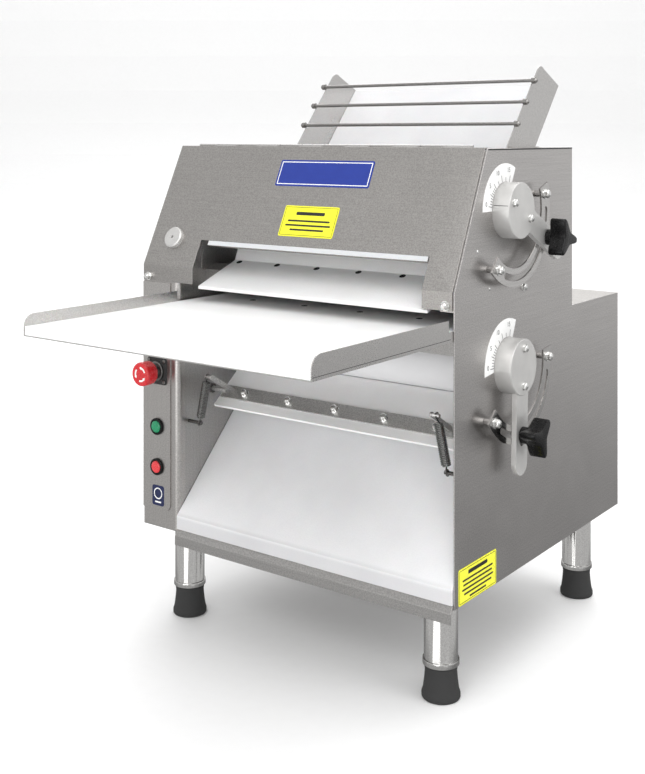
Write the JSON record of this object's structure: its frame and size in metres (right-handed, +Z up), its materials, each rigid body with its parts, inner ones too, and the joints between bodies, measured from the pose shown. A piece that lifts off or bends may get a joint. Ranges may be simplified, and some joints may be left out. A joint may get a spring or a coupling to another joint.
{
  "type": "dough sheeter",
  "caption": "Countertop two-stage dough sheeter: leaning infeed hopper, guarded upper rollers over a front tray, lower rollers above a discharge slide, gap levers on one side, four legs.",
  "frame": {"origin": "middle of the footprint's bounding box, on the floor", "axes": "+Z up; the tray and the operator's side face -Y; the gap levers are on the +X side"},
  "size_m": [0.672, 0.924, 0.9354],
  "materials": {
    "brushed_sheet": "brushed stainless sheet",
    "bright_sheet": "finely brushed stainless sheet",
    "inner_steel": "brushed stainless, inside the bay",
    "machined_steel": "turned and machined stainless",
    "bright_fasteners": "polished stainless fasteners",
    "white_board": "matt white polyethylene",
    "roller_sleeve": "matt white synthetic sleeve",
    "black_rubber": "black rubber",
    "black_plastic": "black moulded plastic",
    "red_plastic": "red moulded plastic",
    "green_plastic": "green moulded plastic",
    "cast_housing": "grey cast housings",
    "motor_paint": "grey-blue enamel on die-cast aluminium",
    "drive_steel": "oiled carbon steel",
    "spring_steel": "bright spring wire"
  },
  "bodies": {
    "frame": {"left_panel": "brushed_sheet", "right_panel": "brushed_sheet", "bay_wall": "inner_steel", "column_front": "bright_sheet", "control_cover": "brushed_sheet", "rear_cover": "brushed_sheet", "tower_top": "brushed_sheet", "base_pan": "bright_sheet", "tray_rail": "inner_steel", "legs": "machined_steel", "feet": "black_rubber", "cable_gland": "black_plastic", "hinge_leaf_fixed": "bright_sheet", "hopper_body": "bright_sheet", "hopper_liner": "white_board", "hopper_rods": "bright_fasteners", "bearing_housings": "cast_housing", "infeed_guide": "inner_steel", "upper_quadrant": "bright_sheet", "lower_quadrant": "bright_sheet", "upper_chute": "white_board", "chute_rail": "inner_steel", "slide_sheet": "white_board", "wall_studs": "bright_fasteners", "spring_left": "spring_steel", "spring_right": "spring_steel", "estop_base": "black_plastic", "button_bezels": "black_plastic", "gearmotor": "motor_paint", "drive_chains": "drive_steel"},
    "hood": {"hood_panel": "brushed_sheet", "hood_hinge_leaf": "bright_sheet", "hood_knob": "machined_steel"},
    "hood_screw_l": {"hood_screw_left": "bright_fasteners"},
    "hood_screw_r": {"hood_screw_right": "bright_fasteners"},
    "upper_carrier": {"upper_carriers": "cast_housing", "upper_scraper": "inner_steel"},
    "upper_front": {"upper_front_roller": "roller_sleeve", "upper_front_shaft": "drive_steel"},
    "upper_rear": {"upper_rear_roller": "roller_sleeve", "upper_rear_shaft": "drive_steel"},
    "upper_adjuster": {"upper_drum": "machined_steel", "upper_lever": "machined_steel"},
    "upper_clamp": {"upper_knob": "black_plastic"},
    "lower_carrier": {"lower_carriers": "cast_housing"},
    "lower_front": {"lower_front_roller": "roller_sleeve", "lower_front_shaft": "drive_steel"},
    "lower_rear": {"lower_rear_roller": "roller_sleeve", "lower_rear_shaft": "drive_steel"},
    "lower_adjuster": {"lower_drum": "machined_steel", "lower_lever": "machined_steel"},
    "lower_clamp": {"lower_knob": "black_plastic"},
    "tray": {"tray_pan": "bright_sheet", "tray_board": "white_board"},
    "scraper": {"scraper_blade": "white_board", "scraper_bar": "inner_steel"},
    "stop_button": {"estop_head": "red_plastic"},
    "start_button": {"green_cap": "green_plastic"},
    "halt_button": {"red_cap": "red_plastic"},
    "motor_output": {"motor_sprocket": "drive_steel"}
  },
  "joints": [
    {"name": "hood_open", "type": "hinge", "parent": "frame", "child": "hood", "pos_m": [-0.031, -0.028, 0.8018], "axis": [-1, 0, 0], "range_deg": [0, 165]},
    {"name": "hood_screw_left_turn", "type": "hinge", "parent": "hood", "child": "hood_screw_l", "pos_m": [-0.323, -0.1378, 0.58], "axis": [0, -1, 0], "range_deg": [0, 360]},
    {"name": "hood_screw_right_turn", "type": "hinge", "parent": "hood", "child": "hood_screw_r", "pos_m": [0.26, -0.1378, 0.58], "axis": [0, -1, 0], "range_deg": [0, 360]},
    {"name": "lower_rear_spin", "type": "hinge", "parent": "frame", "child": "lower_rear", "pos_m": [0.008, 0.1147, 0.4682], "axis": [1, 0, 0], "continuous": true},
    {"name": "lower_front_spin", "type": "hinge", "parent": "lower_carrier", "child": "lower_front", "pos_m": [0.008, 0.0183, 0.4682], "axis": [1, 0, 0], "continuous": true},
    {"name": "upper_rear_spin", "type": "hinge", "parent": "frame", "child": "upper_rear", "pos_m": [0.008, 0.07167, 0.6308], "axis": [1, 0, 0], "continuous": true},
    {"name": "upper_front_spin", "type": "hinge", "parent": "upper_carrier", "child": "upper_front", "pos_m": [0.008, 0.0126, 0.7012], "axis": [1, 0, 0], "continuous": true},
    {"name": "motor_spin", "type": "hinge", "parent": "frame", "child": "motor_output", "pos_m": [-0.266, 0.316, 0.307], "axis": [1, 0, 0], "continuous": true},
    {"name": "upper_lever_turn", "type": "hinge", "parent": "frame", "child": "upper_adjuster", "pos_m": [0.288, 0.014, 0.707], "axis": [1, 0, 0], "range_deg": [-80, 23]},
    {"name": "upper_gap_slide", "type": "slide", "parent": "frame", "child": "upper_carrier", "axis": [0, 0.6428, -0.766], "range_m": [-0.0071, 0.0023]},
    {"name": "lower_lever_turn", "type": "hinge", "parent": "frame", "child": "lower_adjuster", "pos_m": [0.288, 0.02, 0.474], "axis": [1, 0, 0], "range_deg": [-27, 76]},
    {"name": "lower_gap_slide", "type": "slide", "parent": "frame", "child": "lower_carrier", "axis": [0, 1, 0], "range_m": [-0.0027, 0.0068]},
    {"name": "upper_knob_turn", "type": "hinge", "parent": "upper_adjuster", "child": "upper_clamp", "pos_m": [0.314, 0.1031, 0.6616], "axis": [1, 0, 0], "range_deg": [-180, 180]},
    {"name": "lower_knob_turn", "type": "hinge", "parent": "lower_adjuster", "child": "lower_clamp", "pos_m": [0.314, 0.01651, 0.37406], "axis": [1, 0, 0], "range_deg": [-180, 180]},
    {"name": "tray_slide", "type": "slide", "parent": "frame", "child": "tray", "axis": [0, -1, 0], "range_m": [0, 0.12]},
    {"name": "scraper_swing", "type": "hinge", "parent": "frame", "child": "scraper", "pos_m": [0.008, -0.05584, 0.38416], "axis": [1, 0, 0], "range_deg": [-22, 0], "stiffness_Nm_per_rad": 6, "springref_deg": 14.32, "deforming": ["spring_left", "spring_right"]},
    {"name": "stop_button_push", "type": "slide", "parent": "frame", "child": "stop_button", "axis": [0, 1, 0], "range_m": [0, 0.004]},
    {"name": "start_button_push", "type": "slide", "parent": "frame", "child": "start_button", "axis": [0, 1, 0], "range_m": [0, 0.003], "stiffness_N_per_m": 400, "springref_m": -0.001},
    {"name": "halt_button_push", "type": "slide", "parent": "frame", "child": "halt_button", "axis": [0, 1, 0], "range_m": [0, 0.003], "stiffness_N_per_m": 400, "springref_m": -0.001}
  ],
  "couplings": [
    {"joint": "lower_front_spin", "follows": "lower_rear_spin", "ratio": -1},
    {"joint": "upper_rear_spin", "follows": "lower_rear_spin", "ratio": 1},
    {"joint": "upper_front_spin", "follows": "lower_rear_spin", "ratio": -1},
    {"joint": "motor_spin", "follows": "lower_rear_spin", "ratio": 1},
    {"joint": "upper_gap_slide", "follows": "upper_lever_turn", "m_per_rad": 0.0048},
    {"joint": "lower_gap_slide", "follows": "lower_lever_turn", "m_per_rad": 0.0048}
  ]
}
